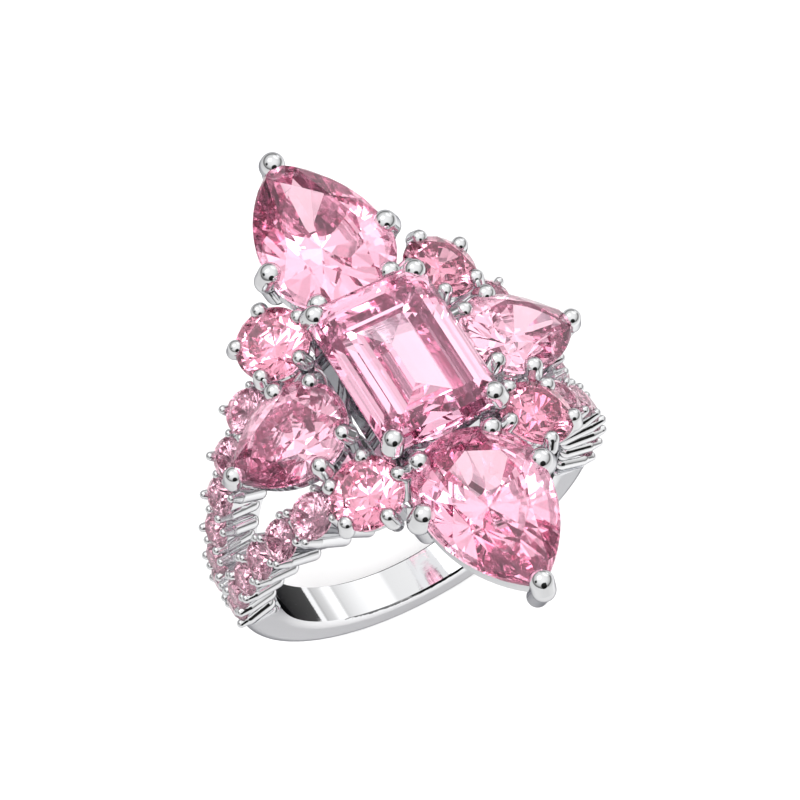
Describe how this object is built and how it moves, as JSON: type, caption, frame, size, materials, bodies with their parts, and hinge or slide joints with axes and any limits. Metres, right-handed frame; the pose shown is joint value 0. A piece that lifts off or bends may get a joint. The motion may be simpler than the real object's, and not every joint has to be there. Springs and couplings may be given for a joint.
{
  "type": "cocktail ring",
  "caption": "Cocktail ring: claw-set octagon, pear and round pink stones on a pierced gallery, with a split pave shank and plain band.",
  "frame": {"origin": "centre of the finger hole", "axes": "+Y along the finger hole, +Z from the finger to the head of stones, +X from shoulder to shoulder"},
  "size_m": [0.0224, 0.0306, 0.0263],
  "materials": {
    "silver": "rhodium-plated silver, mirror polished",
    "pink_stone": "faceted pink cubic zirconia",
    "small_pink_stone": "faceted pink cubic zirconia"
  },
  "bodies": {
    "root": {"shank_band": "silver", "head_gallery": "silver", "centre_setting": "silver", "front_pear_setting": "silver", "back_pear_setting": "silver", "left_pear_setting": "silver", "right_pear_setting": "silver", "front_left_shoulder": "silver", "front_right_shoulder": "silver", "back_left_shoulder": "silver", "back_right_shoulder": "silver", "front_left_round_setting": "silver", "front_right_round_setting": "silver", "back_left_round_setting": "silver", "back_right_round_setting": "silver", "centre_stone": "pink_stone", "front_pear_stone": "pink_stone", "back_pear_stone": "pink_stone", "left_pear_stone": "pink_stone", "right_pear_stone": "pink_stone", "front_left_round_stone": "pink_stone", "front_right_round_stone": "pink_stone", "back_left_round_stone": "pink_stone", "back_right_round_stone": "pink_stone", "front_left_pave_stones": "small_pink_stone", "front_right_pave_stones": "small_pink_stone", "back_left_pave_stones": "small_pink_stone", "back_right_pave_stones": "small_pink_stone"}
  },
  "joints": []
}
